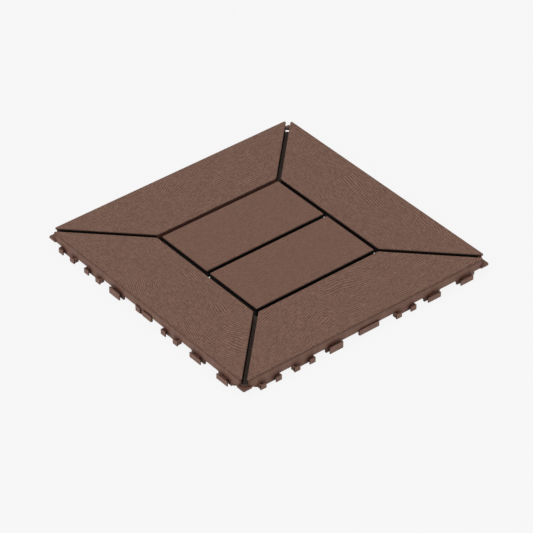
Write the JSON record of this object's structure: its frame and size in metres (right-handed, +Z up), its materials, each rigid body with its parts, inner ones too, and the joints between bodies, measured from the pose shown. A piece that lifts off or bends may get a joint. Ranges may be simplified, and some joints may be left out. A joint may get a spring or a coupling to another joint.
{
  "type": "interlocking deck tile",
  "caption": "Square plastic deck tile with mitred wood-grain border boards round centre planks, dark drain slots and hooked edge connectors.",
  "frame": {"origin": "middle of the tile, on the ground that its feet and connectors stand on", "axes": "+Z up, +X along the centre planks, +Y along the side that is on the left in the picture"},
  "size_m": [0.3068, 0.3068, 0.016],
  "materials": {
    "brown_plastic": "matt moulded wood grain",
    "black_plastic": "plain matt"
  },
  "bodies": {
    "root": {"tile_moulding": "brown_plastic", "slot_lining": "black_plastic"}
  },
  "joints": []
}
